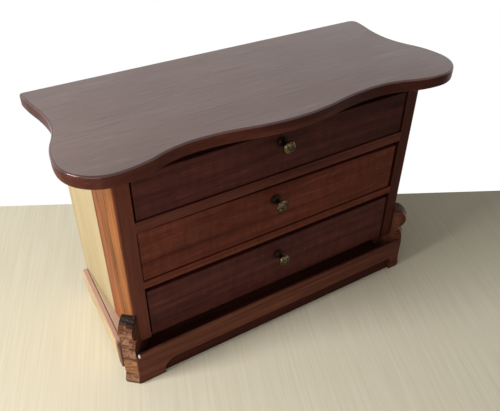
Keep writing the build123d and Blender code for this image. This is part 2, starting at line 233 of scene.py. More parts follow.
def ramp(tree, factor, stops):
    """A colour ramp from (position, colour) pairs: returns the colour socket."""
    node = add_node(tree, "ShaderNodeValToRGB", Fac=factor)
    points = node.color_ramp.elements
    while len(points) < len(stops):
        points.new(0.5)
    for point, (position, colour) in zip(points, stops):
        point.position = position
        point.color = (*colour, 1.0)
    return node.outputs["Color"]


def mix(tree, factor, first, second, blend="MIX"):
    """Two colours mixed: returns the colour socket.

    A Mix node has sockets for each kind of value, and those for colours are the
    inputs 6 and 7 and the output 2.
    """
    node = add_node(tree, "ShaderNodeMix", {"data_type": "RGBA", "blend_type": blend})
    plug(tree, node.inputs[0], factor)
    for socket, colour in ((node.inputs[6], first), (node.inputs[7], second)):
        plug(tree, socket, colour if is_socket(colour) else (*colour, 1.0))
    return node.outputs[2]


# %% Patterns
def noise(tree, vector, scale, detail, roughness=0.5):
    """A noise texture on a vector: returns the value socket."""
    node = add_node(
        tree, "ShaderNodeTexNoise",
        Vector=vector, Scale=scale, Detail=detail, Roughness=roughness,
    )
    return node.outputs["Fac"]


def object_point(tree):
    """The object's own coordinates, which are the chest's coordinates here."""
    return tree.nodes.new("ShaderNodeTexCoord").outputs["Object"]


def seeded(seed):
    """Shifts a pattern, so that each seed shows another stretch of it."""
    return (seed, seed * 0.7, seed * 1.3)


def streaks(tree, vector, grain, across, length, detail, roughness=0.5, shift=(0, 0, 0)):
    """A noise whose blots are `across` wide, and `length` long on the grain's axis."""
    scale = [1.0 / across] * 3
    scale["XYZ".index(grain)] = 1.0 / length
    node = add_node(tree, "ShaderNodeMapping", Vector=vector, Scale=scale, Location=shift)
    return noise(tree, node.outputs["Vector"], 1.0, detail, roughness)


# %% Worn edges
# How far in from an edge the wear reaches, and the cosine between the face and
# its rounded edge: unworn at the first, worn at the second.
WEAR_REACH = 0.0012
WEAR_STEP = (0.995, 0.86)


def edge_wear(tree, point, amount):
    """How rubbed a place is: strongest on the edges, and uneven along them."""
    round_edge = add_node(tree, "ShaderNodeBevel", {"samples": 4}, Radius=WEAR_REACH)
    face = tree.nodes.new("ShaderNodeNewGeometry").outputs["Normal"]
    agree = vector_node(tree, "DOT_PRODUCT", round_edge.outputs["Normal"], face)
    edge = step(tree, agree.outputs["Value"], *WEAR_STEP)
    uneven = step(tree, noise(tree, point, scale=160.0, detail=3.0), 0.35, 0.6)
    rubbed = math_node(tree, "MULTIPLY", edge, uneven)
    return math_node(tree, "MULTIPLY", rubbed, amount, clamp=True)


# %% Wood
# How wide and how long the blots of each layer are.
SWAY = (0.05, 0.12)
FIBRES = (0.0009, 0.022)
PORES = (0.00055, 0.0065)
PATCHES = (0.045, 0.09)
# How far the bands sway, in widths of a band.
SWAY_REACH = 1.6
# The noise at which a pore starts and is full, and how dark it is.
PORE_STEP = (0.62, 0.70)
PORE_SHADE = 0.35
# How much the gloss varies, how high the grain stands, and how round an edge is.
GLOSS_RANGE = 0.07
RELIEF = 0.0002
EDGE_RADIUS = 0.0006


def wood(name, dark, middle, pale, grain="X", band=0.009, length=0.16, spread=0.21,
         fibre=0.25, pores=0.35, tone=0.16, gloss=0.38, shine=0.1, bump=0.25,
         wear=0.35, worn=None, seed=0.0):
    """A board finish.

    dark, middle and pale are the colours of the figure; band and length are the
    size of its bands, and a small spread makes them stand out.  fibre and pores
    are how much the fine layers darken it, tone how patchy it is, gloss its
    roughness, shine how strongly it reflects, and wear how much its edges are
    rubbed to the worn colour.
    """
    material, tree, shader = new_material(name)
    point = object_point(tree)
    shift = seeded(seed)

    drift = streaks(tree, point, grain, *SWAY, 2.0, shift=shift)
    sway = [0.0 if axis == grain else band * SWAY_REACH for axis in "XYZ"]
    bent = vector_node(tree, "MULTIPLY_ADD", drift, sway, point).outputs["Vector"]

    bands = streaks(tree, bent, grain, band, length, 4.0, 0.55, shift)
    stops = [(0.5 - spread, dark), (0.5, middle), (0.5 + spread, pale)]
    figure = ramp(tree, bands, stops)
    hairs = streaks(tree, bent, grain, *FIBRES, 3.0, 0.6, shift)
    fine = ramp(tree, hairs, [(0.3, grey(1 - fibre)), (0.65, grey(1.0))])
    colour = mix(tree, 1.0, figure, fine, "MULTIPLY")
    flecks = streaks(tree, bent, grain, *PORES, 1.0, shift=shift)
    pore = step(tree, flecks, *PORE_STEP)
    pore_colour = tuple(value * PORE_SHADE for value in dark)
    colour = mix(tree, math_node(tree, "MULTIPLY", pore, pores), colour, pore_colour)
    patch = streaks(tree, point, grain, *PATCHES, 2.0, shift=shift)
    shade = ramp(tree, patch, [(0.3, grey(1 - tone)), (0.7, grey(1 + tone * 0.6))])
    colour = mix(tree, 1.0, colour, shade, "MULTIPLY")
    if worn is not None:
        colour = mix(tree, edge_wear(tree, point, wear), colour, worn)
    tree.links.new(colour, shader.inputs["Base Color"])

    rough = between(tree, hairs, gloss + GLOSS_RANGE, gloss - GLOSS_RANGE)
    tree.links.new(rough, shader.inputs["Roughness"])
    shader.inputs["Specular IOR Level"].default_value = shine

    soft_edge = add_node(tree, "ShaderNodeBevel", {"samples": 4}, Radius=EDGE_RADIUS)
    relief = math_node(tree, "SUBTRACT", hairs, pore)
    dents = add_node(
        tree, "ShaderNodeBump",
        Strength=bump, Distance=RELIEF, Height=relief, Normal=soft_edge.outputs["Normal"],
    )
    tree.links.new(dents.outputs["Normal"], shader.inputs["Normal"])
    return material


# %% [markdown]
# ## Stains, bloom, scorch and painted light
# Boards change where light, hands and tools reach them: a front is stained darker
# than a side, dust and polish leave a grey bloom on a top, a hot tool scorches an
# end.  Some layers here are wholly or partly painted light: painted shade on the
# fronts, in gaps and towards dim ends, and painted sheen in the top's bloom.  Each
# is a thin layer over the wood, laid where a mask says.  A mask can follow the way
# a face looks, a place along one axis, or a noise, and masks are multiplied
# together.  Two whole materials could be mixed instead, but a layer of colour keeps
# the grain and the edges of the wood below it.

# %% Layers
UP = (0, 0, 1)
FORWARD = (0, -1, 0)


def looks(tree, direction, start, full):
    """How much a face looks in a direction: 0 at the cosine start, 1 at full."""
    face = tree.nodes.new("ShaderNodeNewGeometry").outputs["Normal"]
    facing = vector_node(tree, "DOT_PRODUCT", face, Vector(direction).normalized())
    return step(tree, facing.outputs["Value"], start, full)


def along(tree, axis, start, full):
    """A step in space: 0 where the coordinate is start, 1 where it is full."""
    parts = add_node(tree, "ShaderNodeSeparateXYZ", Vector=object_point(tree))
    return step(tree, parts.outputs[axis], start, full)


def speckle(tree, grain, across, length, start, full, detail, seed):
    """A mask of blots or streaks: `across` wide and `length` long, on a grain axis."""
    point = object_point(tree)
    spots = streaks(tree, point, grain, across, length, detail, shift=seeded(seed))
    return step(tree, spots, start, full)


def product(tree, *masks):
    """Masks and numbers multiplied together."""
    result = masks[0]
    for mask in masks[1:]:
        result = math_node(tree, "MULTIPLY", result, mask)
    return result


def lay_over(material, cover, colour, blend="MIX"):
    """Lays a colour over a finish where the cover is 1."""
    tree = material.node_tree
    target = tree.nodes["finish"].inputs["Base Color"]
    under = target.links[0].from_socket
    tree.links.new(mix(tree, cover, under, colour, blend), target)


def polish_over(material, cover, roughness):
    """Changes the roughness of a finish where the cover is 1.

    The Mix node's sockets for plain numbers are the inputs 2 and 3 and the output 0.
    """
    tree = material.node_tree
    target = tree.nodes["finish"].inputs["Roughness"]
    blend = tree.nodes.new("ShaderNodeMix")
    for place, value in ((0, cover), (2, target.links[0].from_socket), (3, roughness)):
        plug(tree, blend.inputs[place], value)
    tree.links.new(blend.outputs[0], target)


# %% [markdown]
# ## The top's finish
# The top is dark mahogany under a satin varnish.  Years of light and dust have
# left a bloom on its face.  The grey-pink layer laid there is partly that bloom and
# partly painted sheen, the grey reflection of a satin top.  It is thinner in
# streaks along the grain, with a few fine scratches, while the moulded edge is
# still a deep red, its wood a little darker than the face's, partly as painted
# shade.  The face, the edge and the rounded arris between them reflect
# differently, so each has a finish of its own.  The edge has painted shade towards
# its right end.
#
# The bloom and its painted sheen could be painted on by hand.  A mask of how much a
# face looks up finds the place by itself, and noise breaks it up.

# %% Top woods
# Where the painted shade on the top's edge starts along X, and where it is full.
TOP_EDGE_SHADE_SPAN = (-0.09, 0.09)
DARK_TOP = dict(grain="X", band=0.007, length=0.11, pores=0.30, tone=0.22)
top_wood = wood(
    "dark mahogany, dusty varnish and painted sheen", (0.055, 0.014, 0.010), (0.095, 0.024, 0.017),
    (0.150, 0.040, 0.027), gloss=0.42, shine=0.35, worn=(0.24, 0.08, 0.04), wear=0.25,
    **DARK_TOP,
)
tree = top_wood.node_tree
# The grey-pink layer on faces that look up: partly a bloom of dust, partly painted sheen,
# the grey reflection of a satin top.
face_up = looks(tree, UP, 0.75, 0.97)
dust_and_sheen = ramp(
    tree, streaks(tree, object_point(tree), "X", across=0.030, length=0.085, detail=3.0),
    [(0.30, grey(0.60)), (0.70, grey(0.78))],
)
lay_over(top_wood, product(tree, face_up, dust_and_sheen), (0.305, 0.232, 0.212))
# Each kind of streak: across, length, start, full, detail and seed of its mask,
# how strong it is, and its colour.  The first two streak the dusty bloom and its
# painted sheen, darker and paler; the last are fine scratches.
TOP_STREAKS = [
    ((0.0020, 0.030, 0.52, 0.75, 3.0, 1.7), 0.40, (0.140, 0.092, 0.080)),
    ((0.0016, 0.024, 0.58, 0.75, 3.0, 4.9), 0.30, (0.400, 0.330, 0.305)),
    ((0.00035, 0.009, 0.68, 0.74, 1.0, 7.3), 0.45, (0.075, 0.040, 0.034)),
]
for pattern, strength, colour in TOP_STREAKS:
    streak = speckle(tree, "X", *pattern)
    lay_over(top_wood, product(tree, face_up, streak, strength), colour)

arris_wood = wood(
    "dark mahogany, polished arris", (0.055, 0.014, 0.010), (0.090, 0.024, 0.016),
    (0.15, 0.042, 0.026), gloss=0.13, shine=0.50, bump=0.1, **DARK_TOP,
)
# The edge's wood is a little darker than the face's, partly as painted shade.
top_edge_wood = wood(
    "dark mahogany, top's edge", (0.050, 0.012, 0.008), (0.082, 0.019, 0.012),
    (0.130, 0.034, 0.019), gloss=0.40, shine=0.10, worn=(0.26, 0.08, 0.04), wear=0.5,
    **DARK_TOP,
)
tree = top_edge_wood.node_tree
# Painted shade: the edge darkens towards its right end, where less light falls.
right_end_shade = product(tree, along(tree, "X", *TOP_EDGE_SHADE_SPAN), 0.65)
lay_over(top_edge_wood, right_end_shade, (0.55, 0.45, 0.50), "MULTIPLY")


def count_nodes(*finishes):
    """Prints how many nodes each finish takes."""
    for finish in finishes:
        print(finish.name, "nodes:", len(finish.node_tree.nodes))


count_nodes(top_wood, arris_wood, top_edge_wood)

# %% [markdown]
# ## The case's woods
# The maker used what was at hand: a warmer striped board for the corners of the
# case, pale plywood for the side panels and plain softwood inside.  The post's
# front was stained to match the drawers, and painted shade darkens it further,
# more strongly on the right, where less light falls.  Its inner side, in the gap
# beside the drawers, is nearly black with painted shade.  The board behind the
# post kept its colour, and the post itself went a little golden.
#
# One recipe serves for all of these boards, with other colours and another grain.
# The stains and the painted shade multiply the colour under them, as a real stain
# does, so that the stripes show through.

# %% Case woods
# Where the golden tone starts behind the post, and where it is full on it.
post_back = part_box("left_front_post")[1].y
POST_SPAN = (post_back + 0.0085, post_back - 0.0005)
# A direction, and the cosines at which a face begins to look that way and does.
FRONT_FACE = (FORWARD, 0.35, 0.9)


def post_finish(name, inner):
    """Striped corner wood: stained front, and painted shade on front and inner side."""
    finish = wood(
        name, (0.180, 0.056, 0.015), (0.340, 0.105, 0.030), (0.500, 0.155, 0.050),
        grain="Z", band=0.0036, spread=0.15, gloss=0.46, shine=0.08,
        fibre=0.35, pores=0.5, tone=0.25, worn=(0.42, 0.16, 0.06), seed=3.1,
    )
    tree = finish.node_tree
    on_post = along(tree, "Y", *POST_SPAN)
    lay_over(finish, product(tree, on_post, 0.55), (0.95, 1.08, 0.62), "MULTIPLY")
    lines = speckle(
        tree, "Z", across=0.0009, length=0.045, start=0.60, full=0.68, detail=2.0, seed=5.7,
    )
    lay_over(finish, product(tree, lines, 0.45), (0.075, 0.025, 0.010))
    # Front faces: a real stain to match the drawers, and partly painted shade, since the
    # fronts lie in shade.
    front_stain_and_shade = looks(tree, *FRONT_FACE)
    lay_over(finish, front_stain_and_shade, (0.38, 0.31, 0.52), "MULTIPLY")
    lay_over(finish, product(tree, front_stain_and_shade, 0.55), (0.122, 0.034, 0.027))
    # Painted shade: the inner side, in the narrow gap beside the drawers, is made nearly
    # black.
    lay_over(finish, looks(tree, inner, 0.35, 0.9), (0.10, 0.08, 0.09), "MULTIPLY")
    return finish


left_post_wood = post_finish("striped mahogany, left corner", (1, 0, 0))
right_post_wood = post_finish("striped mahogany, right corner", (-1, 0, 0))
# Painted shade: the right post's front is darker still, where less light falls.
right_front_shade = looks(right_post_wood.node_tree, *FRONT_FACE)
lay_over(right_post_wood, right_front_shade, (0.50, 0.42, 0.42), "MULTIPLY")
panel_wood = wood(
    "pale plywood side panels", (0.42, 0.315, 0.158), (0.505, 0.390, 0.220),
    (0.565, 0.450, 0.268), grain="Z", band=0.007, gloss=0.55, shine=0.15,
    fibre=0.10, pores=0.12, tone=0.06, bump=0.12, worn=(0.45, 0.30, 0.16), seed=4.6,
)
tree = panel_wood.node_tree
yellowed = speckle(
    tree, "Z", across=0.006, length=0.10, start=0.45, full=0.7, detail=2.0, seed=2.2,
)
lay_over(panel_wood, product(tree, yellowed, 0.35), (0.52, 0.45, 0.24))
inner_wood = wood(
    "plain softwood inside", (0.42, 0.29, 0.15), (0.55, 0.40, 0.22),
    (0.64, 0.48, 0.28), grain="X", band=0.006, gloss=0.6, shine=0.1,
    fibre=0.15, pores=0.1, tone=0.1, seed=6.2,
)
count_nodes(left_post_wood, right_post_wood, panel_wood, inner_wood)

# %% [markdown]
# ## The drawers' woods
# The drawer fronts are mahogany, the middle one redder than the others.  Their
# level grain is crossed by a faint mottle, where the fibres sway in and out of the
# board and catch the light unevenly, and painted shade lies round the knobs' necks,
# where each knob shades its front.  The upper front has painted shade towards its
# right end, under the top's overhang.  The boxes behind are plain softwood.
#
# A ring of painted shade could be drawn on each front.  A mask of the distance from
# the knob's foot does the same for all three, wherever the CAD has put the knobs.

# %% Marks on the drawer fronts
LEVELS = ("upper", "middle", "lower")
# How far from the middle of a knob's foot the painted shade starts, and where it
# is full.
KNOB_SHADE_START, KNOB_SHADE_FULL = 0.0062, 0.0032


def near(tree, place, start, full):
    """Rises as the surface comes closer to a place: 0 at distance start, 1 at full."""
    reach = vector_node(tree, "DISTANCE", object_point(tree), place)
    return step(tree, reach.outputs["Value"], start, full)


def knob_foot(level):
    """Where a knob's neck meets its drawer front."""
    low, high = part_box(f"{level}_drawer_knob")
    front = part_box(f"{level}_drawer_front")[0].y
    return ((low.x + high.x) / 2, front, (low.z + high.z) / 2)


def mottled(finish, amount, seed):
    """A faint mottle across a finish, and painted shade round the knobs' necks."""
    tree = finish.node_tree
    waves = streaks(
        tree, object_point(tree), "Z", across=0.0045, length=0.016, detail=3.0,
        shift=seeded(seed),
    )
    tint = ramp(tree, waves, [(0.35, grey(1 - amount)), (0.65, grey(1 + amount * 0.5))])
    lay_over(finish, 1.0, tint, "MULTIPLY")
    for level in LEVELS:
        # Painted shade round each knob's neck.
        knob_shade = near(tree, knob_foot(level), KNOB_SHADE_START, KNOB_SHADE_FULL)
        lay_over(finish, product(tree, knob_shade, 0.75), (0.012, 0.006, 0.005))
    return finish


# %% Drawer woods
# Where the painted shade on the upper front starts along X, and where it is full.
DRAWER_SHADE_SPAN = (0.02, 0.105)
rail_wood = wood(
    "red mahogany, level grain", (0.060, 0.015, 0.011), (0.098, 0.026, 0.018),
    (0.140, 0.042, 0.028), grain="X", band=0.004, gloss=0.5, shine=0.08,
    worn=(0.24, 0.08, 0.045), wear=0.5, seed=5.3,
)
drawer_wood = mottled(wood(
    "brown mahogany, drawer fronts", (0.055, 0.014, 0.012), (0.090, 0.023, 0.019),
    (0.125, 0.034, 0.026), grain="X", band=0.005, gloss=0.5, shine=0.08, fibre=0.35,
    worn=(0.17, 0.05, 0.035), wear=0.3, seed=7.9,
), amount=0.16, seed=1.1)
tree = drawer_wood.node_tree
above_lower = along(
    tree, "Z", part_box("lower_drawer_front")[1].z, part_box("upper_drawer_front")[0].z,
)
# Painted shade: the upper front darkens towards its right end, under the top's overhang.
upper_right_shade = product(tree, along(tree, "X", *DRAWER_SHADE_SPAN), above_lower, 0.65)
lay_over(drawer_wood, upper_right_shade, (0.45, 0.40, 0.40), "MULTIPLY")
red_drawer_wood = mottled(wood(
    "red mahogany, middle drawer front", (0.085, 0.018, 0.010), (0.140, 0.032, 0.018),
    (0.178, 0.047, 0.025), grain="X", band=0.005, gloss=0.5, shine=0.08, fibre=0.35,
    worn=(0.24, 0.08, 0.045), wear=0.3, seed=11.2,
), amount=0.16, seed=2.3)
box_wood = wood(
    "drawer box softwood", (0.40, 0.28, 0.15), (0.53, 0.38, 0.22),
    (0.62, 0.46, 0.27), grain="Y", band=0.006, gloss=0.6, shine=0.1,
    fibre=0.15, pores=0.1, tone=0.1, seed=9.4,
)
count_nodes(rail_wood, drawer_wood, red_drawer_wood, box_wood)

# %% [markdown]
# ## The base's woods
# The base front is brown mahogany, stained less evenly than the drawers, and
# painted shade darkens it towards its right end.  The side strips are cream wood
# with a pink primer on top, rubbed thin, and painted shade darkens them where they
# run behind the brackets.  The plinth rail behind the base front is very dark,
# partly as painted shade for the deep slot it stands in.
#
# The primer could be a separate thin sheet, but paint has no thickness to see.  It
# is a layer on the faces that look up, broken where a noise rubs it away.

# %% Base woods
# Where the painted shade starts, along X on the base front and along Y on the
# strips, and where each is full.
BASE_SHADE_SPAN = (0.02, 0.12)
STRIP_SHADE_SPAN = (-0.028, -0.035)
LEVEL_FACE = (UP, 0.5, 0.9)
base_wood = wood(
    "brown mahogany, base boards", (0.085, 0.024, 0.014), (0.150, 0.046, 0.026),
    (0.220, 0.075, 0.042), grain="X", band=0.005, gloss=0.52, shine=0.08,
    worn=(0.28, 0.10, 0.055), wear=0.5, seed=2.4,
)
tree = base_wood.node_tree
# Painted shade: the base front darkens towards its right end, where less light falls.
right_end_shade = product(tree, along(tree, "X", *BASE_SHADE_SPAN), 0.35)
lay_over(base_wood, right_end_shade, (0.40, 0.34, 0.40), "MULTIPLY")
# The plinth rail's very dark colour is partly painted shade, for the deep slot behind the
# base front.
plinth_wood = wood(
    "dark plinth rail", (0.040, 0.011, 0.008), (0.062, 0.017, 0.011),
    (0.085, 0.024, 0.015), grain="X", band=0.005, gloss=0.6, shine=0.04,
    worn=(0.12, 0.035, 0.022), wear=0.3, seed=6.7,
)
strip_wood = wood(
    "rubbed side strips", (0.52, 0.38, 0.20), (0.66, 0.50, 0.28),
    (0.76, 0.60, 0.36), grain="Y", band=0.004, gloss=0.5, shine=0.15,
    worn=(0.75, 0.55, 0.30), wear=0.6, seed=8.8,
)
tree = strip_wood.node_tree
rubbed_thin = speckle(
    tree, "Y", across=0.003, length=0.02, start=0.25, full=0.4, detail=2.0, seed=3.3,
)
primer = product(tree, looks(tree, *LEVEL_FACE), rubbed_thin, 0.9)
lay_over(strip_wood, primer, (0.57, 0.335, 0.265))
# Painted shade where the strip runs behind the bracket.
behind_bracket_shade = product(tree, along(tree, "Y", *STRIP_SHADE_SPAN), 0.92)
lay_over(strip_wood, behind_bracket_shade, (0.10, 0.035, 0.020))
count_nodes(base_wood, plinth_wood, strip_wood)

# %% [markdown]
# ## Brass and steel
# The knobs are brass that has gone dull, and nearly black round the neck: partly
# tarnish where fingers do not reach, partly painted shade behind the head.  Metal
# takes nearly all of its look from what it reflects, so the colour stays plain and
# the tarnish changes the roughness too.

# %% Metals
DULL_PATCHES = dict(scale=625.0, detail=4.0, roughness=0.6)
FINE_SCRATCHES = dict(scale=2400.0, detail=2.0)
SCRATCH_DEPTH = 0.0001


def metal(name, bright, dull, polish, tarnish):
    """A metal with dull patches: polish and tarnish are the roughness of the two."""
    material, tree, shader = new_material(name)
    point = object_point(tree)
    patches = step(tree, noise(tree, point, **DULL_PATCHES), 0.40, 0.60)
    tree.links.new(mix(tree, patches, bright, dull), shader.inputs["Base Color"])
    rough = between(tree, patches, polish, tarnish)
    tree.links.new(rough, shader.inputs["Roughness"])
    shader.inputs["Metallic"].default_value = 1.0
    scratches = noise(tree, point, **FINE_SCRATCHES)
    dents = add_node(
        tree, "ShaderNodeBump", Strength=0.12, Distance=SCRATCH_DEPTH, Height=scratches,
    )
    tree.links.new(dents.outputs["Normal"], shader.inputs["Normal"])
    return material


brass = metal(
    "dulled brass", (0.130, 0.094, 0.046), (0.026, 0.019, 0.013),
    polish=0.20, tarnish=0.55,
)
# The neck's nearly black brass: partly tarnish, partly painted shade behind the head.
tarnish_and_shade_brass = metal(
    "brass, tarnish and painted shade", (0.024, 0.015, 0.010), (0.012, 0.007, 0.005),
    polish=0.5, tarnish=0.7,
)
steel = metal(
    "plain steel", (0.55, 0.55, 0.56), (0.32, 0.31, 0.30),
    polish=0.30, tarnish=0.5,
)
count_nodes(brass, tarnish_and_shade_brass, steel)

# %% [markdown]
# ## Give each solid its finish
# The record says which kind of material each solid is made of.  A few solids are
# a different board from the rest of their kind, so they have a finish of their own.
# Two tables and one loop do it, and nothing has to be picked by hand.

# %% Finishes
FINISHES = {
    "top_wood": top_wood,
    "case_wood": left_post_wood,
    "drawer_front_wood": drawer_wood,
    "drawer_box_wood": box_wood,
    "pale_panel_wood": panel_wood,
    "bracket_wood": base_wood,
    "base_wood": base_wood,
    "strip_wood": strip_wood,
    "inner_wood": inner_wood,
    "knob_brass": brass,
    "screw_steel": steel,
}
OWN_FINISH = {
    "middle_drawer_front": red_drawer_wood,
    "top_rail": rail_wood,
    "upper_drawer_rail": rail_wood,
    "lower_drawer_rail": red_drawer_wood,
    "plinth_rail": plinth_wood,
    "right_front_post": right_post_wood,
    "right_side_board": right_post_wood,
}
for part in frame["record"]["subparts"]:
    finish = OWN_FINISH.get(part["node"], FINISHES[part["material_slot"]])
    slots = frame["nodes"][part["node"]].data.materials
    slots.clear()
    slots.append(finish)

# %% [markdown]
# ## The top board
# The CAD top has the right outline, but its edge is made of narrow flat facets
# with a sharp chamfer.  Varnish softens such an edge and draws a line of light
# along it.  A welded copy gets a small round bevel and smooth shading, so the
# light runs along the curve without a break.  Its side takes the edge's finish,
# and the rounded arris a glossier one, because hands polish it.

# %% Top board
ARRIS_RADIUS = 0.0005
# Angles above these are corners; the curve's own facets stay below them.
BEVEL_FROM = math.radians(28)
SHARP_FROM = math.radians(32)
# How much of a face's normal points up: on the flat face, and on the edge.
FACE_UP = 0.99
EDGE_UP = 0.2
FACE_SLOT, EDGE_SLOT, ARRIS_SLOT = 0, 1, 2

top = welded_copy("top_board", "top_board_soft_edge")
round_over = top.modifiers.new("round over", "BEVEL")
round_over.width = ARRIS_RADIUS
round_over.segments = 3
round_over.limit_method = "ANGLE"
round_over.angle_limit = BEVEL_FROM
apply_all(top)
bpy.ops.object.shade_smooth_by_angle(angle=SHARP_FROM)
for finish in (top_wood, top_edge_wood, arris_wood):
    top.data.materials.append(finish)
for face in top.data.polygons:
    if face.normal.z < EDGE_UP:
        face.material_index = EDGE_SLOT
    elif face.normal.z < FACE_UP:
        face.material_index = ARRIS_SLOT
    else:
        face.material_index = FACE_SLOT
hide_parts("top_board")
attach(top, BODY)
measure(top)
print("edge faces:", sum(face.material_index == EDGE_SLOT for face in top.data.polygons))

# %% [markdown]
# ## The knobs
# Each knob was turned on a lathe: a small flange against the drawer, a hollow
# neck, a bead and a domed head.  A lathe is easy to copy in edit mode: start with
# a ring of points, then extrude it forward and resize it at each step along the
# profile.  The spin tool would do it too, but it leaves a seam to weld.

# %% Knobs
# How far along the knob each ring is, and how wide, in parts of the knob's reach and
# of its head's radius.
PROFILE = [
    (0.00, 0.60), (0.055, 0.64), (0.085, 0.62), (0.11, 0.52), (0.16, 0.43), (0.25, 0.36),
    (0.36, 0.34), (0.46, 0.38), (0.53, 0.47), (0.575, 0.60), (0.605, 0.62), (0.63, 0.60),
    (0.65, 0.70), (0.68, 0.88), (0.72, 0.975), (0.76, 1.00), (0.80, 0.985), (0.85, 0.90),
    (0.90, 0.75), (0.945, 0.55), (0.975, 0.33), (0.993, 0.14),
]
# Where the bright head starts, and how small the last ring is beside the one before.
HEAD_START = 0.66
TIP_SIZE = 0.02
RING_POINTS = 40


def pull_forward(distance, resize):
    """Extrudes the selected ring towards the front and resizes it."""
    bpy.ops.mesh.extrude_region_move(TRANSFORM_OT_translate={"value": (0, -distance, 0)})
    bpy.ops.transform.resize(value=(resize, resize, resize))


def turned_knob(node, name):
    """A knob turned to the profile, in the place of its CAD solid."""
    low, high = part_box(node)
    radius = (high.x - low.x) / 2
    reach = high.y - low.y
    centre = (low + high) / 2
    bpy.ops.object.select_all(action="DESELECT")
    bpy.ops.mesh.primitive_circle_add(
        vertices=RING_POINTS, radius=radius * PROFILE[0][1], fill_type="NGON",
        location=(centre.x, high.y, centre.z), rotation=(math.radians(90), 0, 0),
    )
    piece = bpy.context.object
    piece.name = name
    settle(piece)
    edit_whole(piece)
    for (here, size), (there, next_size) in zip(PROFILE, PROFILE[1:]):
        pull_forward((there - here) * reach, next_size / size)
    pull_forward((1 - PROFILE[-1][0]) * reach, TIP_SIZE)
    close_shape(sharp_from=50)
    piece.data.materials.append(brass)
    piece.data.materials.append(tarnish_and_shade_brass)
    behind_head = high.y - HEAD_START * reach
    for face in piece.data.polygons:
        face.material_index = int(face.center.y > behind_head)
    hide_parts(node)
    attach(piece, node.rsplit("_", 1)[0])
    return piece


for level in LEVELS:
    measure(turned_knob(f"{level}_drawer_knob", f"{level}_knob_turned"))

# %% [markdown]
# ## The brackets
# Each bracket was sawn from a thick offcut and never sanded: its edges wave.
# Painted shade marks a hollow near its head, a line in the corner above the shank
# and its foot.  The saw bound at the heads: the left one is scorched black and
# glossy, with painted glints on it, and the right one only browned.  The solid has
# clean faces.  A welded copy is remeshed into small even faces, and two
# displacements, one slow and one fine, roughen it.  They mostly cut in, as wear
# does, and the sole is cut flat again.
#
# The same could be sculpted by hand, but a seeded texture gives the same chips
# each time, and the bracket keeps its true outline.

# %% Bracket wood
# Heights above the table: where each mark starts, and where it is full.
WARM_BELOW = (0.0245, 0.0215)
WARM_ABOVE = (0.008, 0.014)
CORNER_SHADE_ABOVE = (0.0232, 0.0243)
CORNER_SHADE_BELOW = (0.0262, 0.0250)
FOOT_SHADE_BELOW = (0.005, 0.001)
SCORCH_ABOVE = (0.0562, 0.0576)
# How far the scorch's edge runs up and down, and how wide the painted shade of the
# hollow is.
SCORCH_SWAY = 0.0025
HOLLOW_SHADE_START, HOLLOW_SHADE_FULL = 0.0042, 0.0022


def bracket_finish(name, sawn_edge, hollow, burnt, seed):
    """Rough mahogany: light and mottled on the sawn edge, darkened at the head.

    sawn_edge is the way that the sawn edge faces, and hollow the middle of a hollow
    painted as shade.  burnt is 1 for a head burnt black and shiny, with painted
    glints, and 0 for a brown one.  The finish also has painted shade at the foot and
    in a corner line above the shank.
    """
    finish = wood(
        name, (0.085, 0.024, 0.013), (0.135, 0.042, 0.022), (0.200, 0.070, 0.034),
        grain="Z", band=0.004, length=0.03, gloss=0.5, shine=0.10, fibre=0.35,
        bump=0.5, tone=0.3, worn=(0.26, 0.10, 0.05), wear=0.5, seed=seed,
    )
    tree = finish.node_tree
    point = object_point(tree)
    sawn = looks(tree, sawn_edge, 0.45, 0.85)
    mottle = ramp(tree, noise(tree, point, scale=330.0, detail=4.0, roughness=0.65), [
        (0.32, (0.100, 0.046, 0.018)), (0.50, (0.270, 0.132, 0.070)),
        (0.68, (0.420, 0.235, 0.160)),
    ])
    lay_over(finish, product(tree, sawn, 0.85), mottle)
    shank = product(
        tree, sawn, along(tree, "Z", *WARM_BELOW), along(tree, "Z", *WARM_ABOVE),
    )
    lay_over(finish, product(tree, shank, 0.6), (0.330, 0.130, 0.045))
    # Painted shade: a dark line in the corner above the shank.
    corner_shade = product(tree, along(tree, "Z", *CORNER_SHADE_ABOVE), along(tree, "Z", *CORNER_SHADE_BELOW))
    lay_over(finish, product(tree, corner_shade, 0.8), (0.060, 0.022, 0.022))
    # Painted shade at the foot, next to the table.
    foot_shade = along(tree, "Z", *FOOT_SHADE_BELOW)
    lay_over(finish, product(tree, foot_shade, 0.6), (0.070, 0.026, 0.012))
    # Painted shade of a hollow near the head, given by colour alone.
    shadow = near(tree, hollow, HOLLOW_SHADE_START, HOLLOW_SHADE_FULL)
    lay_over(finish, product(tree, shadow, 0.85), (0.110, 0.036, 0.008))

    ragged = noise(tree, point, scale=260.0, detail=3.0)
    sway = between(tree, ragged, -SCORCH_SWAY, SCORCH_SWAY)
    parts = add_node(tree, "ShaderNodeSeparateXYZ", Vector=point)
    height = math_node(tree, "ADD", parts.outputs["Z"], sway)
    scorch = step(tree, height, *SCORCH_ABOVE)
    head_colour = (0.026, 0.015, 0.014) if burnt else (0.055, 0.020, 0.013)
    lay_over(finish, product(tree, scorch, 0.93), head_colour)
    # Painted glints: pale flecks on a burnt, glossy head.
    flecks = step(tree, noise(tree, point, scale=900.0, detail=3.0), 0.58, 0.70)
    lay_over(finish, product(tree, scorch, flecks, 0.5 * burnt), (0.160, 0.130, 0.120))
    polish_over(finish, scorch, 0.60 - 0.28 * burnt)
    return finish


# %% Brackets
SIDES = ("left", "right")
SMALL_FACE = 0.0005
SLOW_WAVES = dict(size=0.005, depth=0.0005)
FINE_CHIPS = dict(size=0.0013, depth=0.00022)
# How high the rough sole is cut off, and how far the flat one is drawn down again.
SOLE_CUT = 0.0005
SOLE_DEPTH = 0.0004
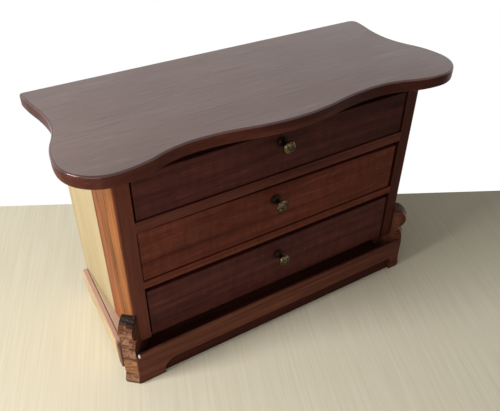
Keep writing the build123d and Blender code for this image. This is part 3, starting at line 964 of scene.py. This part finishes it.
# Where the hollow's middle is: in from the outer side, back from the front and
# down from the head.
HOLLOW_IN, HOLLOW_BACK, HOLLOW_DOWN = 0.0037, 0.0082, 0.0062
BURNT = {"left": 1.0, "right": 0.0}


def roughened(piece, name, size, depth):
    """Applies one displacement of a given blot size, which mostly cuts in."""
    chips = bpy.data.textures.new(name, "CLOUDS")
    chips.noise_scale = size
    chips.noise_depth = 2
    layer = piece.modifiers.new(name, "DISPLACE")
    layer.texture = chips
    layer.texture_coords = "LOCAL"
    layer.strength = depth
    layer.mid_level = 0.75
    apply_all(piece)
    bpy.data.textures.remove(chips)


def rough_bracket(side):
    """The sawn bracket of one side, in the place of its solid."""
    node = f"{side}_front_bracket"
    outwards = -1 if side == "left" else 1
    piece = welded_copy(node, f"{side}_bracket_sawn")
    piece.data.remesh_voxel_size = SMALL_FACE
    bpy.ops.object.voxel_remesh()
    roughened(piece, "slow waves", **SLOW_WAVES)
    roughened(piece, "fine chips", **FINE_CHIPS)
    edit_whole(piece)
    bpy.ops.mesh.bisect(
        plane_co=(0, 0, SOLE_CUT), plane_no=UP, clear_inner=True, use_fill=True,
    )
    bpy.ops.mesh.extrude_region_move(
        TRANSFORM_OT_translate={"value": (0, 0, -SOLE_DEPTH)},
    )
    close_shape(sharp_from=60)
    low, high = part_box(node)
    outer = low.x if side == "left" else high.x
    hollow = (outer - outwards * HOLLOW_IN, low.y + HOLLOW_BACK, high.z - HOLLOW_DOWN)
    piece.data.materials.clear()
    piece.data.materials.append(bracket_finish(
        f"sawn mahogany, {side} bracket", sawn_edge=(outwards, -1, 0), hollow=hollow,
        burnt=BURNT[side], seed=3.7 + outwards,
    ))
    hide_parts(node)
    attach(piece, BODY)
    return piece


for side in SIDES:
    measure(rough_bracket(side))

# %% [markdown]
# ## Packing behind the side strips
# Each strip stands away from its side, further towards the front, and a wedge of
# the same wood is glued in behind it.  The wedge is the strip's own shape, moved
# inwards by a hair more than its thickness, stretched past the side's face and cut
# off there, so that it follows both and leaves a thin dark joint.  A wedge built
# from a box would need the strip's slant worked out first.

# %% Packing wood
# Where the pinkish tone on the packing's top starts along Y, and where it is full.
PINK_TOP_SPAN = (0.040, -0.025)
packing_wood = wood(
    "pale packing, pink on top", (0.50, 0.37, 0.21), (0.60, 0.46, 0.28),
    (0.67, 0.53, 0.34), grain="Y", band=0.004, gloss=0.5, shine=0.15,
    worn=(0.60, 0.44, 0.26), wear=0.4, seed=9.9,
)
tree = packing_wood.node_tree
# A pinkish tone on the faces that look up, stronger towards the front.
pink_top = product(tree, looks(tree, *LEVEL_FACE), along(tree, "Y", *PINK_TOP_SPAN), 0.7)
lay_over(packing_wood, pink_top, (0.57, 0.345, 0.270))
count_nodes(packing_wood)

# %% Packing wedges
WEDGE_SHIFT = 0.0041
WEDGE_DROP = 0.0003
WEDGE_STRETCH = 0.0065
# How much of a face's normal points inwards, on the faces to stretch.
LOOKS_INWARDS = 0.9


def strip_packing(side):
    """The wedge between a side strip and its side."""
    inwards = 1 if side == "left" else -1
    low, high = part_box(f"{side}_side_panel")
    panel_face = low.x if side == "left" else high.x
    piece = welded_copy(f"{side}_base_strip", f"{side}_strip_packing")
    edit_whole(piece)
    bpy.ops.mesh.select_mode(type="FACE")
    bpy.ops.transform.translate(value=(inwards * WEDGE_SHIFT, 0, -WEDGE_DROP))
    bpy.ops.mesh.select_all(action="DESELECT")
    bpy.ops.object.mode_set(mode="OBJECT")
    for face in piece.data.polygons:
        face.select = face.normal.x * inwards > LOOKS_INWARDS
    bpy.ops.object.mode_set(mode="EDIT")
    bpy.ops.transform.translate(value=(inwards * WEDGE_STRETCH, 0, 0))
    bpy.ops.mesh.select_all(action="SELECT")
    bpy.ops.mesh.bisect(
        plane_co=(panel_face, 0, 0), plane_no=(inwards, 0, 0),
        clear_outer=True, use_fill=True,
    )
    close_shape(sharp_from=30)
    piece.data.materials.append(packing_wood)
    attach(piece, BODY)
    return piece


for side in SIDES:
    measure(strip_packing(side))

# %% [markdown]
# ## A bead of glue
# White glue squeezed out where the base front meets the left bracket, and nobody
# wiped it away.  A small sphere is drawn out tall in that corner and roughened a
# little, so that it reads as a dried drop.

# %% Dried glue
glue, tree, shader = new_material("dried white glue")
film = noise(tree, object_point(tree), scale=900.0, detail=3.0)
milky = ramp(tree, film, [(0.35, (0.62, 0.60, 0.54)), (0.65, (0.86, 0.85, 0.80))])
tree.links.new(milky, shader.inputs["Base Color"])
tree.links.new(between(tree, film, 0.45, 0.28), shader.inputs["Roughness"])
count_nodes(glue)

# %% Glue bead
BEAD_RADIUS = 0.0012
BEAD_SHAPE = (0.8, 0.8, 1.7)
# From the left end, the front and the top of the base front.
BEAD_IN, BEAD_BACK, BEAD_DOWN = 0.0026, 0.0002, 0.0008

base_low, base_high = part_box("base_front")
bead_place = (base_low.x + BEAD_IN, base_low.y + BEAD_BACK, base_high.z - BEAD_DOWN)
bpy.ops.object.select_all(action="DESELECT")
bpy.ops.mesh.primitive_ico_sphere_add(
    subdivisions=4, radius=BEAD_RADIUS, location=bead_place,
)
bead = bpy.context.object
bead.name = "glue_bead"
bpy.ops.transform.resize(value=BEAD_SHAPE)
settle(bead)
roughened(bead, "dried skin", size=0.0018, depth=0.0005)
bpy.ops.object.shade_smooth()
bead.data.materials.append(glue)
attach(bead, BODY)
measure(bead)

# %% [markdown]
# ## The floor
# The chest stands on a pale floor of brushed grain that ends behind it.  Past its
# edge there is only the white of the world.  A plane is enough, because the floor
# is a stage for the chest and not a part of it.

# %% Floor
# How far the floor reaches each way, how far behind the chest's middle its edge
# passes, and how the edge and the grain are turned.
FLOOR_REACH = 3.0
FLOOR_EDGE = 0.1446
FLOOR_TURN = math.radians(28.6)
GRAIN_TURN = math.radians(23)
bpy.ops.object.select_all(action="DESELECT")
bpy.ops.mesh.primitive_plane_add(
    size=2 * FLOOR_REACH, location=(0, FLOOR_EDGE - FLOOR_REACH, 0),
)
floor = bpy.context.object
floor.name = "floor"
bpy.ops.transform.rotate(
    value=FLOOR_TURN, orient_axis="Z", center_override=(0, FLOOR_EDGE, 0),
)
settle(floor)
floor_finish, tree, shader = new_material("pale floor")
turned = add_node(
    tree, "ShaderNodeMapping", Vector=object_point(tree), Rotation=(0, 0, GRAIN_TURN),
)
lines = streaks(
    tree, turned.outputs["Vector"], "Y", across=0.0022, length=0.09, detail=4.0,
)
tone = ramp(tree, lines, [(0.3, (0.85, 0.765, 0.565)), (0.7, (0.92, 0.850, 0.655))])
tree.links.new(tone, shader.inputs["Base Color"])
shader.inputs["Roughness"].default_value = 0.7
shader.inputs["Specular IOR Level"].default_value = 0.2
floor.data.materials.append(floor_finish)
print("floor corners", [rounded(*corner.co) for corner in floor.data.vertices])

# %% [markdown]
# ## The world and the lamps
# The world is white where the camera, a reflection or glass sees it, and gives only
# a dim even light to everything else.  Four soft lamps do the rest.  Two stand for a
# window on the left and a little behind, a large one for soft shade and a small one
# for a crisper edge to the shadow.  A weak one is the light that comes back from a
# wall behind, and the last fills the shade at the left front.  So the left side is
# bright and the front lies in soft shade.  One lamp could not do it, because the
# edge of its shadow would be all soft or all crisp.

# %% World
AMBIENT = 0.150
WHITE = 1.0
world = bpy.data.worlds.new("white studio")
bpy.context.scene.world = world
world.use_nodes = True
tree = world.node_tree
tree.nodes.clear()
path = tree.nodes.new("ShaderNodeLightPath").outputs
seen = math_node(tree, "MAXIMUM", path["Is Camera Ray"], path["Is Glossy Ray"])
seen = math_node(tree, "MAXIMUM", seen, path["Is Transmission Ray"])
light = add_node(
    tree, "ShaderNodeBackground",
    Color=(1.0, 1.0, 1.0, 1.0), Strength=between(tree, seen, AMBIENT, WHITE),
)
output = tree.nodes.new("ShaderNodeOutputWorld")
tree.links.new(light.outputs["Background"], output.inputs["Surface"])
print("world light:", AMBIENT, "on the chest and", WHITE, "where it is seen")

# %% Lamps
middle = (cad_low + cad_high) / 2
# Each lamp: its place, the point it looks at, its size in metres and its watts.
LAMPS = {
    "window light": ((-1.40, 0.11, 0.95), middle, 0.65, 20.5),
    "sharp window light": ((-1.00, 0.17, 0.65), middle, 0.20, 1.6),
    "wall light": ((-0.60, 0.80, 0.46), middle, 0.90, 0.9),
    "left fill": ((-0.36, -0.30, 0.17), (0, 0, 0.09), 0.24, 0.44),
}
for name, (place, aim, size, watts) in LAMPS.items():
    lamp = bpy.data.lights.new(name, "AREA")
    lamp.size = size
    lamp.energy = watts
    holder = bpy.data.objects.new(name, lamp)
    bpy.context.scene.collection.objects.link(holder)
    holder.location = place
    beam = Vector(aim) - Vector(place)
    holder.rotation_euler = beam.to_track_quat("-Z", "Y").to_euler()
    print(name, "watts:", watts)

# %% [markdown]
# ## The camera
# A camera has a place and three turns: the heading, to the right of straight ahead,
# the tilt below level, and a slight lean.  They could be three Euler angles, but as
# matrices, multiplied with the heading first, each turn keeps its own meaning.  A
# small shift of the frame keeps the chest in the middle.

# %% Camera
PLACE = (-0.2054, -0.3237, 0.3535)
HEADING = math.radians(32.69)
TILT = math.radians(41.12)
LEAN = math.radians(0.54)
camera_data = bpy.data.cameras.new("camera")
camera = bpy.data.objects.new("camera", camera_data)
bpy.context.scene.collection.objects.link(camera)
bpy.context.scene.camera = camera
camera_data.sensor_width = 36.0
camera_data.lens = 42.81
camera_data.shift_y = 0.12
camera_data.clip_start = 0.01
camera.matrix_world = (
    Matrix.Translation(PLACE)
    @ Matrix.Rotation(-HEADING, 4, "Z")
    @ Matrix.Rotation(math.pi / 2 - TILT, 4, "X")
    @ Matrix.Rotation(LEAN, 4, "Z")
)
bpy.context.scene.view_settings.view_transform = "Standard"
print("camera at", rounded(*PLACE))

# %% [markdown]
# ## Finish
# The view layer is brought up to date at the end.

# %% Finish
bpy.context.view_layer.update()
